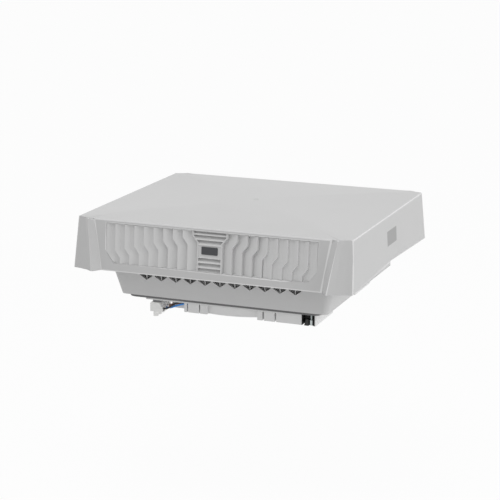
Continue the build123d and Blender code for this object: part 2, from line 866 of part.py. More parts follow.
# Wire guard that carries the motor
with BuildPart() as fan_guard:
    for index in range(guard_rings):
        with BuildSketch(Plane.XZ):
            with Locations((guard_first + index * guard_pitch, guard_z)):
                RegularPolygon(wire_radius, 6)
        revolve(axis=Axis.Z)
    for index in range(spoke_count):
        angle = lug_start + index * 360.0 / spoke_count
        reach = lug_circle if index % 2 == 0 else guard_first + (guard_rings - 1) * guard_pitch
        heading = (cos(radians(angle)), sin(radians(angle)), 0)
        start = (heading[0] * spoke_start, heading[1] * spoke_start, spoke_z)
        with BuildSketch(Plane(origin=start, z_dir=heading)):
            RegularPolygon(spoke_radius, 6)
        extrude(amount=reach - spoke_start)
    with BuildSketch(Plane.XY.offset(lug_top)):
        with PolarLocations(lug_circle, lug_count, start_angle=lug_start):
            Circle(lug_pad)
    extrude(amount=centre_thick)
    with BuildSketch(Plane.XY.offset(plate_base)):
        Circle(centre_radius)
        Circle(centre_hole, mode=Mode.SUBTRACT)
    extrude(amount=centre_thick)
    with BuildSketch(Plane.XY.offset(lug_top - 2.0)):
        with PolarLocations(lug_circle, lug_count, start_angle=lug_start):
            Circle(small_screw + screw_play)
    extrude(amount=centre_thick + 8.0, mode=Mode.SUBTRACT)
    with BuildSketch(Plane.XY.offset(lug_top + centre_thick)):
        with PolarLocations(lug_circle, lug_count, start_angle=lug_start):
            Circle(lug_pad)
    extrude(amount=4 * spoke_radius, mode=Mode.SUBTRACT)
    with BuildSketch(Plane.XY.offset(plate_base - 4.0)):
        with PolarLocations(motor_circle, motor_screw_count, start_angle=motor_start):
            Circle(small_screw + screw_play)
    extrude(amount=centre_thick + 6.0, mode=Mode.SUBTRACT)
fan_guard.part.label = "fan_guard"

with BuildPart() as guard_screws:
    with BuildSketch(Plane.XY.offset(collar_low + 0.5)):
        with PolarLocations(lug_circle, lug_count, start_angle=lug_start):
            Circle(small_screw)
    extrude(amount=lug_top + centre_thick - collar_low)
    with BuildSketch(Plane.XY.offset(lug_top + centre_thick)):
        with PolarLocations(lug_circle, lug_count, start_angle=lug_start):
            Circle(head_scale * small_screw)
            RegularPolygon(drive_scale * small_screw, 6, mode=Mode.SUBTRACT)
    extrude(amount=head_rise)
guard_screws.part.label = "guard_screws"

# Motor: the flange and the stator stand still
flange_base = plate_base + centre_thick
with BuildPart() as motor_flange:
    with BuildSketch(Plane.XY.offset(flange_base)):
        Circle(flange_radius)
        with PolarLocations(flange_radius, 1, start_angle=notch_lead):
            Rectangle(*lead_notch, mode=Mode.SUBTRACT)
    extrude(amount=flange_height)
    with BuildSketch(Plane.XY.offset(flange_base)):
        Circle(tube_outer)
    extrude(amount=tube_top - flange_base)
    with BuildSketch(Plane.XY.offset(flange_base - over)):
        Circle(tube_inner)
    extrude(amount=tube_top - flange_base + 2 * over, mode=Mode.SUBTRACT)
    with BuildSketch(Plane.XY.offset(flange_base - over)):
        with PolarLocations(motor_circle, motor_screw_count, start_angle=motor_start):
            Circle(small_screw)
    extrude(amount=flange_height + 2 * over, mode=Mode.SUBTRACT)
motor_flange.part.label = "motor_flange"

with BuildPart() as motor_screws:
    with BuildSketch(Plane.XY.offset(plate_base - head_rise)):
        with PolarLocations(motor_circle, motor_screw_count, start_angle=motor_start):
            Circle(head_scale * small_screw)
            RegularPolygon(drive_scale * small_screw, 6, mode=Mode.SUBTRACT)
    extrude(amount=head_rise)
    with BuildSketch(Plane.XY.offset(plate_base)):
        with PolarLocations(motor_circle, motor_screw_count, start_angle=motor_start):
            Circle(small_screw)
    extrude(amount=centre_thick + flange_height - 0.5)
motor_screws.part.label = "motor_screws"

with BuildPart() as stator_core:
    with BuildSketch(Plane.XY.offset(core_low)):
        Circle(pole_hub)
        with PolarLocations((slot_radius + pole_hub) / 2, core_poles):
            Rectangle(slot_radius - pole_hub + 3.0, pole_width)
        with PolarLocations((slot_radius + core_radius) / 2 - 0.4, core_poles):
            Rectangle(core_radius - slot_radius, pole_shoe)
        Circle(tube_outer, mode=Mode.SUBTRACT)
    extrude(amount=core_high - core_low)
stator_core.part.label = "stator_core"

with BuildPart() as stator_winding:
    with BuildSketch(Plane.XY.offset(core_low - coil_over)):
        with PolarLocations((coil_in + coil_out) / 2, core_poles):
            Rectangle(coil_out - coil_in, coil_width)
    extrude(amount=core_high - core_low + 2 * coil_over)
    with BuildSketch(Plane.XY.offset(core_low - seat_gap)):
        with PolarLocations((coil_in + coil_out) / 2, core_poles):
            Rectangle(coil_out - coil_in + 2.0, pole_width + 2 * seat_gap)
    extrude(amount=core_high - core_low + 2 * seat_gap, mode=Mode.SUBTRACT)
stator_winding.part.label = "stator_winding"

with BuildPart() as bearing_lower:
    with BuildSketch(Plane.XY.offset(bearing_low)):
        Circle(tube_inner)
        Circle(shaft_radius + run_gap, mode=Mode.SUBTRACT)
    extrude(amount=bearing_width)
bearing_lower.part.label = "bearing_lower"

with BuildPart() as bearing_upper:
    with BuildSketch(Plane.XY.offset(tube_top - bearing_width - 0.5)):
        Circle(tube_inner)
        Circle(shaft_radius + run_gap, mode=Mode.SUBTRACT)
    extrude(amount=bearing_width)
bearing_upper.part.label = "bearing_upper"

# Rotor: everything here turns together
with BuildPart() as motor_shaft:
    with BuildSketch(Plane.XY.offset(shaft_low)):
        Circle(shaft_radius)
    extrude(amount=shaft_top - shaft_low)
    with BuildSketch(Plane.XY.offset(bearing_low - ring_gap - ring_thick)):
        Circle(shaft_radius + ring_out)
        Circle(ring_in, mode=Mode.SUBTRACT)
    extrude(amount=ring_thick, mode=Mode.SUBTRACT)
motor_shaft.part.label = "motor_shaft"

with BuildPart() as shaft_ring:
    with BuildSketch(Plane.XY.offset(bearing_low - ring_gap - ring_thick)):
        Circle(shaft_radius + ring_rim)
        Circle(ring_in, mode=Mode.SUBTRACT)
        with Locations((shaft_radius + ring_out, 0)):
            Rectangle(*ring_mouth, mode=Mode.SUBTRACT)
    extrude(amount=ring_thick)
shaft_ring.part.label = "shaft_ring"

with BuildPart() as rotor_cup:
    with BuildSketch(Plane.XY.offset(cup_low)):
        Circle(cup_outer)
    extrude(amount=cup_top - cup_low)
    with BuildSketch(Plane.XY.offset(cup_low - over)):
        Circle(cup_outer - cup_wall)
    extrude(amount=cup_top - cup_wall - cup_low + over, mode=Mode.SUBTRACT)
    with BuildSketch(Plane.XY.offset(tube_top + 0.4)):
        Circle(2 * shaft_radius)
    extrude(amount=cup_top - tube_top - 0.4)
    with BuildSketch(Plane.XY.offset(tube_top)):
        Circle(shaft_radius)
    extrude(amount=cup_top, mode=Mode.SUBTRACT)
rotor_cup.part.label = "rotor_cup"

with BuildPart() as rotor_magnet:
    with BuildSketch(Plane.XY.offset(cup_low + 0.5)):
        Circle(cup_outer - cup_wall)
        Circle(cup_outer - cup_wall - magnet_thick, mode=Mode.SUBTRACT)
    extrude(amount=core_high + 1.0 - cup_low)
rotor_magnet.part.label = "rotor_magnet"


def blade_plane(station):
    """Return the plane of one blade section: X along the chord, Y across it."""
    radius, pitch, chord, sweep = station
    turn = radians(sweep)
    tangent = Vector(-sin(turn), cos(turn), 0)
    chord_way = tangent * cos(radians(pitch)) + Vector(0, 0, sin(radians(pitch)))
    place = Vector(radius * cos(turn), radius * sin(turn), blade_middle)
    return Plane(origin=place, x_dir=chord_way, z_dir=Vector(cos(turn), sin(turn), 0))


with BuildPart() as blade:
    for station in (blade_root, blade_inner, blade_outer, blade_end):
        with BuildSketch(blade_plane(station)):
            half = station[2] / 2
            with BuildLine():
                ThreePointArc((-half, 0), (0, blade_camber + blade_thick / 2), (half, 0))
                ThreePointArc((half, 0), (0, blade_camber - blade_thick / 2), (-half, 0))
            make_face()
    loft()
    with BuildSketch(Plane.XY.offset(-blade_middle)):
        Circle(impeller_tip)
        Circle(hub_inner + 0.5, mode=Mode.SUBTRACT)
    extrude(amount=4 * blade_middle, mode=Mode.INTERSECT)

with BuildPart() as impeller:
    with BuildSketch(Plane.XY.offset(hub_low)):
        Circle(hub_radius)
        Circle(hub_inner, mode=Mode.SUBTRACT)
    extrude(amount=hub_top - hub_low)
    with BuildSketch(Plane.XY.offset(cup_top + seat_gap)):
        Circle(hub_radius)
        Circle(2 * shaft_radius, mode=Mode.SUBTRACT)
    extrude(amount=hub_wall)
    with PolarLocations(0, blade_count):
        add(blade.part)
impeller.part.label = "impeller"

# Terminal strip under the front left corner
poles = [block_y_low + pole_pitch * (index + 0.5) for index in range(pole_count)]
between = (poles[0] + pole_pitch / 2, poles[-1] - pole_pitch / 2)
block_mid_y = (block_y_low + block_y_high) / 2
block_long = block_y_high - block_y_low
block_profile = [
    (block_x_low, block_bottom),
    (block_x_high, block_bottom),
    (block_x_high, block_top - block_fall),
    (block_x_high - block_slope, block_top),
    (block_x_low + block_edge, block_top),
    (block_x_low, block_top - block_edge),
]

with BuildPart() as terminal_block:
    with BuildSketch(Plane.XZ.offset(-block_mid_y)):
        with BuildLine():
            Polyline(*block_profile, close=True)
        make_face()
    extrude(amount=block_long / 2 - seat_gap, both=True)
    with BuildSketch(Plane.XY.offset(tower_low)):
        for pole in poles:
            with Locations((tower_x, pole)):
                Circle(tower_radius)
    extrude(amount=block_top - tower_low)
    with BuildSketch(Plane.XY.offset(block_bottom - over)):
        for pole in between:
            for side_x in (block_x_low, block_x_high):
                with Locations((side_x, pole)):
                    Rectangle(*strip_groove)
    extrude(amount=block_top - block_bottom + 2 * over, mode=Mode.SUBTRACT)
    with BuildSketch(Plane.YZ.offset(clamp_bar_low)):
        for pole in poles:
            with Locations((pole, wire_z)):
                Rectangle(2 * clamp_bar_half, 2 * clamp_bar_half)
    extrude(amount=block_x_high - clamp_bar_low + over, mode=Mode.SUBTRACT)
    with BuildSketch(Plane.XY.offset(tower_low - over)):
        for pole in poles:
            with Locations((tower_x, pole)):
                Circle(term_screw_radius + term_play)
    extrude(amount=wire_z - tower_low + over, mode=Mode.SUBTRACT)
    with BuildSketch(Plane.XY.offset(block_top)):
        for pole in between:
            with Locations((block_mid_x, pole)):
                Circle(peg_radius)
    extrude(amount=plate_thick - 0.6)
terminal_block.part.label = "terminal_block"

with BuildPart() as terminal_clamps:
    with BuildSketch(Plane.YZ.offset(clamp_bar_low)):
        for pole in poles:
            with Locations((pole, wire_z)):
                Rectangle(2 * clamp_bar_half, 2 * clamp_bar_half)
                Circle(wire_bore, mode=Mode.SUBTRACT)
    extrude(amount=clamp_bar_long)
    with BuildSketch(Plane.XY.offset(wire_z - 2 * clamp_bar_half)):
        for pole in poles:
            with Locations((tower_x, pole)):
                Circle(term_screw_radius)
    extrude(amount=2 * clamp_bar_half, mode=Mode.SUBTRACT)
terminal_clamps.part.label = "terminal_clamps"

with BuildPart() as terminal_screws:
    with BuildSketch(Plane.XY.offset(tower_low + term_sink)):
        for pole in poles:
            with Locations((tower_x, pole)):
                Circle(term_screw_radius)
    extrude(amount=wire_z - lead_radius - term_play - tower_low - term_sink)
    with BuildSketch(Plane.XY.offset(tower_low + term_sink / 2)):
        for pole in poles:
            with Locations((tower_x, pole)):
                Rectangle(*term_slot)
    extrude(amount=term_sink, mode=Mode.SUBTRACT)
terminal_screws.part.label = "terminal_screws"

bracket_top = ring_low - seat_gap
bracket_mid_y = (bracket_front + bracket_back) / 2
with BuildPart() as terminal_bracket:
    with BuildSketch(Plane.XY.offset(bracket_top - plate_thick)):
        with Locations(((bracket_left + bracket_right) / 2, bracket_mid_y)):
            RectangleRounded(bracket_right - bracket_left, bracket_back - bracket_front, 2.0)
        with Locations((block_mid_x, bracket_back - bracket_margin)):
            Circle(small_screw + screw_play, mode=Mode.SUBTRACT)
        for pole in between:
            with Locations((block_mid_x, pole)):
                Circle(peg_radius + seat_gap, mode=Mode.SUBTRACT)
    extrude(amount=plate_thick)
terminal_bracket.part.label = "terminal_bracket"

with BuildPart() as bracket_screw:
    with BuildSketch(Plane.XY.offset(bracket_top - plate_thick - head_rise)):
        with Locations((block_mid_x, bracket_back - bracket_margin)):
            Circle(head_scale * small_screw)
            RegularPolygon(drive_scale * small_screw, 6, mode=Mode.SUBTRACT)
    extrude(amount=head_rise)
    with BuildSketch(Plane.XY.offset(bracket_top - plate_thick)):
        with Locations((block_mid_x, bracket_back - bracket_margin)):
            Circle(small_screw)
    extrude(amount=plate_thick + 4.5)
bracket_screw.part.label = "bracket_screw"

# Leads from the strip through the duct wall to the motor
lead_routes = {
    "lead_black": [
        (-95.5, -116.0, -17.0),
        (-86.0, -116.0, -16.6),
        (-74.0, -113.2, -6.4),
        (-60.0, -112.0, -5.4),
        (-48.0, -110.9, -5.2),
        (-38.5, -96.0, -6.6),
        (-30.5, -64.0, -6.7),
        (-14.0, -27.9, -6.0),
    ],
    "lead_blue": [
        (-95.5, -106.0, -17.0),
        (-86.0, -106.0, -17.6),
        (-74.0, -115.2, -10.6),
        (-60.0, -115.0, -6.0),
        (-46.5, -114.6, -6.0),
        (-35.0, -98.0, -6.7),
        (-26.5, -64.5, -6.6),
        (-10.8, -29.2, -6.0),
    ],
    "lead_brown": [
        (-95.5, -96.0, -17.0),
        (-87.2, -96.0, -16.4),
        (-85.4, -106.6, -12.4),
        (-76.0, -109.8, -9.0),
        (-60.0, -109.0, -5.4),
        (-50.8, -108.0, -5.4),
        (-42.0, -94.0, -6.6),
        (-34.5, -63.5, -6.8),
        (-17.2, -26.2, -6.0),
    ],
}


def turn_radius(before, corner, after):
    """Return a tangent radius for one corner of a route."""
    first = Vector(*corner) - Vector(*before)
    second = Vector(*after) - Vector(*corner)
    turn = radians(first.get_angle(second))
    shorter = min(first.length, second.length)
    return 0.45 * shorter / tan(turn / 2)


lead_parts = []
for name, points in lead_routes.items():
    radii = []
    for index in range(1, len(points) - 1):
        radii.append(min(turn_radius(points[index - 1], points[index], points[index + 1]), 60.0))
    print(name, [round(radius, 1) for radius in radii])
    with BuildPart() as lead:
        with BuildLine() as route:
            FilletPolyline(*points, radius=radii)
        with BuildSketch(Plane(origin=route.line @ 0, z_dir=route.line % 0)):
            Circle(lead_radius)
        sweep(path=route.line)
    lead.part.label = name
    lead_parts.append(lead.part)

built = (
    hood,
    louvre_front,
    louvre_rear,
    name_badge,
    base_tray,
    roof_gasket,
    mounting_collar,
    fan_duct,
    clamp_guides,
    frame_screws,
    fan_guard,
    guard_screws,
    motor_flange,
    motor_screws,
    stator_core,
    stator_winding,
    bearing_lower,
    bearing_upper,
    motor_shaft,
    shaft_ring,
    rotor_cup,
    rotor_magnet,
    impeller,
    terminal_block,
    terminal_clamps,
    terminal_screws,
    terminal_bracket,
    bracket_screw,
)
for shape in [node.part for node in built] + block_parts + clamp_parts + lead_parts:
    export_step(shape, "parts/" + shape.label + ".step")
    print(shape.label, len(shape.solids()), round(shape.volume))
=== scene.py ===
"""Dresses the enclosure roof fan: weather hood, vented tray, collar, clamps and leads."""

import logging
import math
from dataclasses import dataclass, field
from enum import Enum

import bpy
from mathutils import Matrix, Quaternion, Vector


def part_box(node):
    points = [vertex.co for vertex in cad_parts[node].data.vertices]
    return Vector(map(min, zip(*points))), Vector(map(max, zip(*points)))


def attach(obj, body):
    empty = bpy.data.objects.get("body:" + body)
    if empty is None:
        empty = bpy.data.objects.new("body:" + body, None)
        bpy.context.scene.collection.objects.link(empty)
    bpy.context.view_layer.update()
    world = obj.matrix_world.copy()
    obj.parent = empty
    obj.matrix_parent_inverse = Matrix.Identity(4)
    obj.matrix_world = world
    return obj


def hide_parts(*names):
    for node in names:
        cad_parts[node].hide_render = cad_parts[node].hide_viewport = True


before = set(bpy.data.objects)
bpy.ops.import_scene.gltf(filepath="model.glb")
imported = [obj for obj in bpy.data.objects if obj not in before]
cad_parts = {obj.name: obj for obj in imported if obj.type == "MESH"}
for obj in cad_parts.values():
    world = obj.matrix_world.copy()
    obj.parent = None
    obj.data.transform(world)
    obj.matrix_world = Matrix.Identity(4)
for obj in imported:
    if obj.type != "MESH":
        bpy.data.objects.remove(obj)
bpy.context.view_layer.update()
log = logging.getLogger("roof_fan")
MM = 0.001
# Doubles closer than this are one point, and faces that turn less than this are one face
MERGE_MM = 0.01
FLAT_DEGREES = 0.4
# How much a large face counts in the even shading
EVEN_WEIGHT = 80
RELIEF_STRENGTH = 0.6
MOTTLE_DETAIL = 3.0
GRAIN_DETAIL = 2.0
BRUSHED_STRETCH = 0.1


class Noise(Enum):
    """The texture that a finish draws its fine relief from."""

    NONE = "none"
    GRAIN = "grain"
    FOAM = "foam"
    BRUSHED = "brushed"


def linear(hex_colour: str) -> tuple[float, float, float, float]:
    """Turn an sRGB hex colour to linear light.

    Args:
        hex_colour: six hex digits, such as "c8c9ca".

    Returns:
        The linear red, green, blue and an alpha of one.
    """
    parts = [int(hex_colour[i:i + 2], 16) / 255 for i in (0, 2, 4)]
    light = [c / 12.92 if c <= 0.04045 else ((c + 0.055) / 1.055) ** 2.4 for c in parts]
    return (light[0], light[1], light[2], 1.0)


@dataclass(frozen=True)
class Finish:
    """A real material and how its surface was made.

    Attributes:
        name: the finish in a maker's words.
        colour: its sRGB colour as hex digits.
        second: the colour of its faint mottling.
        roughness: the shader's roughness.
        metallic: one for a bare metal.
        ior: index of refraction of a plastic, paint or rubber.
        noise: where its fine relief comes from.
        grain_mm: the real size of that relief.
        bump: the height of the relief in millimetres.
        mottle_mm: the size of the slow colour change.
    """

    name: str
    colour: str
    second: str
    roughness: float
    metallic: float = 0.0
    ior: float = 1.5
    noise: Noise = Noise.GRAIN
    grain_mm: float = 1.0
    bump: float = 0.02
    mottle_mm: float = 60.0

    def make(self) -> bpy.types.Material:
        """Build the finish as a node material and return it."""
        material = bpy.data.materials.new(self.name)
        material.use_nodes = True
        tree = material.node_tree
        shader = tree.nodes["Principled BSDF"]
        shader.inputs["Metallic"].default_value = self.metallic
        shader.inputs["Roughness"].default_value = self.roughness
        if not self.metallic:
            shader.inputs["IOR"].default_value = self.ior
        place = add_node(tree, "ShaderNodeTexCoord")
        mottle = add_node(tree, "ShaderNodeTexNoise", Scale=1 / (self.mottle_mm * MM), Detail=MOTTLE_DETAIL)
        tree.links.new(place.outputs["Object"], mottle.inputs["Vector"])
        mix = add_node(tree, "ShaderNodeMix", data_type="RGBA")
        mix.inputs["A"].default_value = linear(self.colour)
        mix.inputs["B"].default_value = linear(self.second)
        tree.links.new(mottle.outputs["Fac"], mix.inputs["Factor"])
        tree.links.new(mix.outputs["Result"], shader.inputs["Base Color"])
        if self.noise is not Noise.NONE:
            self.add_relief(tree, place, shader)
        return material

    def add_relief(self, tree: bpy.types.NodeTree, place: bpy.types.Node, shader: bpy.types.Node) -> None:
        """Give the finish its fine relief.

        Args:
            tree: the material's nodes.
            place: its coordinates.
            shader: the shader that takes the relief.
        """
        scale = 1 / (self.grain_mm * MM)
        if self.noise is Noise.FOAM:
            relief = add_node(tree, "ShaderNodeTexVoronoi", Scale=scale)
            out = relief.outputs["Distance"]
        else:
            relief = add_node(tree, "ShaderNodeTexNoise", Scale=scale, Detail=GRAIN_DETAIL)
            out = relief.outputs["Fac"]
        source = place.outputs["Object"]
        if self.noise is Noise.BRUSHED:
            stretch = add_node(tree, "ShaderNodeMapping")
            stretch.inputs["Scale"].default_value = (1.0, 1.0, BRUSHED_STRETCH)
            tree.links.new(source, stretch.inputs["Vector"])
            source = stretch.outputs["Vector"]
        tree.links.new(source, relief.inputs["Vector"])
        bump = add_node(tree, "ShaderNodeBump", Strength=RELIEF_STRENGTH, Distance=self.bump * MM)
        tree.links.new(out, bump.inputs["Height"])
        tree.links.new(bump.outputs["Normal"], shader.inputs["Normal"])


def add_node(tree: bpy.types.NodeTree, kind: str, data_type: str = "", **values: float) -> bpy.types.Node:
    """Add a node and set its sockets.

    Args:
        tree: the tree it goes in.
        kind: the node's type.
        data_type: the data type of a mix node.
        **values: socket names and values.

    Returns:
        The new node.
    """
    node = tree.nodes.new(kind)
    if data_type:
        node.data_type = data_type
    for name, value in values.items():
        node.inputs[name].default_value = value
    return node


# Light grey ABS, moulded with a fine satin: even in tone
HOOD_ABS = Finish("hood_abs_moulded", "c4c4c4", "c0c0c0", 0.32, grain_mm=0.8, bump=0.012)
LOUVRE_ABS = Finish("louvre_abs_moulded", "cecece", "cbcbcb", 0.34, grain_mm=0.8, bump=0.012)
# The tray and collar are the hood's grey ABS painted lighter: painted light standing in for the light the
# floor throws up onto them
TRAY_ABS = Finish("tray_abs_moulded", "cccccc", "c8c8c8", 0.46, grain_mm=0.8, bump=0.012)
COLLAR_ABS = Finish("collar_abs_moulded", "e8e8e8", "e4e4e4", 0.42, grain_mm=0.8, bump=0.012)
# The same plastic on its rounded edges, painted lighter: a painted highlight where the edges catch the light
EDGE_HIGHLIGHT_ABS = Finish("hood_abs_painted_highlight", "e0e0e0", "dcdcdc", 0.24, grain_mm=0.8, bump=0.004)
# Closed-cell EPDM foam: grey and matt on its cut edge, with the cells open
GASKET_FOAM = Finish("gasket_foam_cut", "727273", "7a7a7b", 0.9, noise=Noise.FOAM, grain_mm=1.2, bump=0.15)
# Dark plate, printed plain
BADGE_INK = Finish("badge_plate_plain", "3c3d40", "404145", 0.35, grain_mm=0.5, bump=0.004)
# Plain satin foil with nothing on it
LABEL_FOIL = Finish("label_foil_plain", "a4a4a4", "9e9e9e", 0.5, grain_mm=0.6, bump=0.004)
# Bright zinc plate on steel screws and wire
ZINC = Finish("zinc_plate_bright", "c3c8c8", "aab2b2", 0.28, metallic=1.0, grain_mm=0.9, bump=0.01)
WIRE_ZINC = Finish("guard_wire_zinc", "b4b7b8", "9a9ea0", 0.35, metallic=1.0, grain_mm=1.2, bump=0.015)
# Glass-filled nylon and polypropylene: black, with a dry sheen
NYLON_BLACK = Finish("clamp_nylon_black", "1c1c1d", "242425", 0.45, grain_mm=0.7, bump=0.02)
IMPELLER_BLACK = Finish("impeller_nylon_black", "1b1b1d", "222225", 0.55, grain_mm=1.0, bump=0.03)
# Natural nylon: milky white, smooth, lets a little light in
NYLON_WHITE = Finish("terminal_nylon_white", "f8f8f7", "f4f4f2", 0.36, ior=1.53, grain_mm=1.2, bump=0.01)
BRACKET_GREY = Finish("bracket_abs_grey", "8a8a8c", "828284", 0.5, grain_mm=0.8, bump=0.02)
BRASS = Finish("terminal_brass_turned", "c9a25a", "b08a48", 0.3, metallic=1.0, grain_mm=0.6, bump=0.01)
CAST_ALLOY = Finish("flange_alloy_cast", "a9abad", "95979a", 0.5, metallic=1.0, grain_mm=1.5, bump=0.06)
CORE_STEEL = Finish("stator_steel_stacked", "6d6e70", "58595b", 0.45, metallic=1.0, noise=Noise.BRUSHED,
                    grain_mm=0.5, bump=0.05)
COPPER = Finish("winding_copper_enamelled", "b5642f", "8f4a20", 0.3, metallic=1.0, noise=Noise.BRUSHED,
                grain_mm=0.6, bump=0.15)
GROUND_STEEL = Finish("bearing_steel_ground", "c2c4c6", "b2b4b6", 0.2, metallic=1.0, grain_mm=0.6, bump=0.004)
CUP_STEEL = Finish("rotor_steel_drawn", "8d8f92", "7d7f82", 0.35, metallic=1.0, grain_mm=2.0, bump=0.02)
FERRITE = Finish("magnet_ferrite_sintered", "2b2b2d", "353538", 0.65, grain_mm=0.8, bump=0.03)
# Soft PVC on the three leads
PVC_BLACK = Finish("lead_pvc_black", "1d1d1f", "262629", 0.4, ior=1.52, grain_mm=1.5, bump=0.01)
PVC_BLUE = Finish("lead_pvc_blue", "1488e0", "1c90e6", 0.4, ior=1.52, grain_mm=1.5, bump=0.01)
PVC_BROWN = Finish("lead_pvc_brown", "8a4a2a", "945434", 0.4, ior=1.52, grain_mm=1.5, bump=0.01)


def deselect() -> None:
    """Leave no object selected, in object mode."""
    if bpy.context.object and bpy.context.object.mode != "OBJECT":
        bpy.ops.object.mode_set(mode="OBJECT")
    bpy.ops.object.select_all(action="DESELECT")


def activate(piece: bpy.types.Object) -> None:
    """Select one piece and make it the active one."""
    deselect()
    piece.select_set(True)
    bpy.context.view_layer.objects.active = piece


def dress(piece: bpy.types.Object, material: bpy.types.Material) -> None:
    """Give a piece one material."""
    piece.data.materials.clear()
    piece.data.materials.append(material)


def copy_of(node: str, name: str) -> bpy.types.Object:
    """Copy a CAD node's mesh as a new piece with its doubles merged.

    Args:
        node: the CAD node.
        name: the new piece's name.

    Returns:
        The new piece, active and selected.
    """
    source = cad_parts[node]
    piece = bpy.data.objects.new(name, source.data.copy())
    bpy.context.scene.collection.objects.link(piece)
    piece.matrix_world = Matrix.Identity(4)
    activate(piece)
    bpy.ops.object.mode_set(mode="EDIT")
    bpy.ops.mesh.select_all(action="SELECT")
    bpy.ops.mesh.remove_doubles(threshold=MERGE_MM * MM)
    bpy.ops.mesh.customdata_custom_splitnormals_clear()
    bpy.ops.mesh.dissolve_limited(angle_limit=math.radians(FLAT_DEGREES))
    bpy.ops.object.mode_set(mode="OBJECT")
    return piece


def weigh_long_edges(piece: bpy.types.Object, least_mm: float, angle: float) -> int:
    """Mark the long sharp edges for the bevel and return how many there are.

    Args:
        piece: the piece.
        least_mm: the shortest edge that is rounded.
        angle: the least angle that is an edge, in degrees.
    """
    activate(piece)
    bpy.ops.object.mode_set(mode="EDIT")
    bpy.ops.mesh.select_mode(type="EDGE")
    bpy.ops.mesh.select_all(action="DESELECT")
    bpy.ops.mesh.edges_select_sharp(sharpness=math.radians(angle))
    bpy.ops.object.mode_set(mode="OBJECT")
    mesh = piece.data
    weights = mesh.attributes.new("bevel_weight_edge", "FLOAT", "EDGE")
    count = 0
    for edge in mesh.edges:
        start, end = (mesh.vertices[index].co for index in edge.vertices)
        if edge.select and (end - start).length > least_mm * MM:
            weights.data[edge.index].value = 1.0
            count += 1
    return count


def soften(piece: bpy.types.Object, width_mm: float, segments: int = 2, angle: float = 20.0,
           smooth: float = 60.0, edge_slot: int = -1, least_mm: float = 0.0) -> None:
    """Round a piece's edges as its mould does, and keep its flat faces flat in shading.

    Args:
        piece: the piece to round.
        width_mm: the bevel's width.
        segments: the bevel's segments.
        angle: the least angle that is an edge, in degrees.
        smooth: the greatest angle that is shaded as a curve, in degrees.
        edge_slot: the material slot of the new edges, or -1 for their neighbours' one.
        least_mm: the shortest edge that is rounded, or zero for every one.
    """
    activate(piece)
    if least_mm:
        log.info("%s has %d long edges", piece.name, weigh_long_edges(piece, least_mm, angle))
    bevel = piece.modifiers.new("moulded_edges", "BEVEL")
    bevel.width = width_mm * MM
    bevel.segments = segments
    bevel.limit_method = "WEIGHT" if least_mm else "ANGLE"
    bevel.angle_limit = math.radians(angle)
    bevel.use_clamp_overlap = least_mm == 0.0
    bevel.material = edge_slot
    bpy.ops.object.modifier_apply(modifier=bevel.name)
    bpy.ops.object.shade_smooth_by_angle(angle=math.radians(smooth))
    even = piece.modifiers.new("even_shading", "WEIGHTED_NORMAL")
    even.keep_sharp = True
    even.weight = EVEN_WEIGHT
    bpy.ops.object.modifier_apply(modifier=even.name)


@dataclass
class Moulding:
    """A moulded piece that stands for a CAD node, with its edges rounded.

    Attributes:
        node: the CAD node.
        body: the body it rides on.
        finish: its finish.
        edge_mm: the radius of its edges.
        segments: the segments of that radius.
        angle: the least angle that is an edge.
        smooth: the greatest angle that is shaded as a curve.
        highlight_finish: a lighter finish on its edges that paints in their highlight, where that differs.
        least_mm: the shortest edge that is rounded, or zero for every one.
    """

    node: str
    body: str
    finish: Finish
    edge_mm: float
    segments: int = 2
    angle: float = 20.0
    smooth: float = 60.0
    highlight_finish: Finish | None = None
    least_mm: float = 0.0

    def build(self) -> bpy.types.Object:
        """Make the piece, dress it and hide its node."""
        piece = copy_of(self.node, self.node + "_moulded")
        dress(piece, self.finish.make())
        # The new edge faces take the lighter finish: a painted highlight on the rounded edges
        if self.highlight_finish:
            piece.data.materials.append(self.highlight_finish.make())
        edge_slot = 1 if self.highlight_finish else -1
        soften(piece, self.edge_mm, self.segments, self.angle, self.smooth, edge_slot,
               self.least_mm)
        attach(piece, self.body)
        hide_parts(self.node)
        log.info("%s has %d faces", piece.name, len(piece.data.polygons))
        return piece


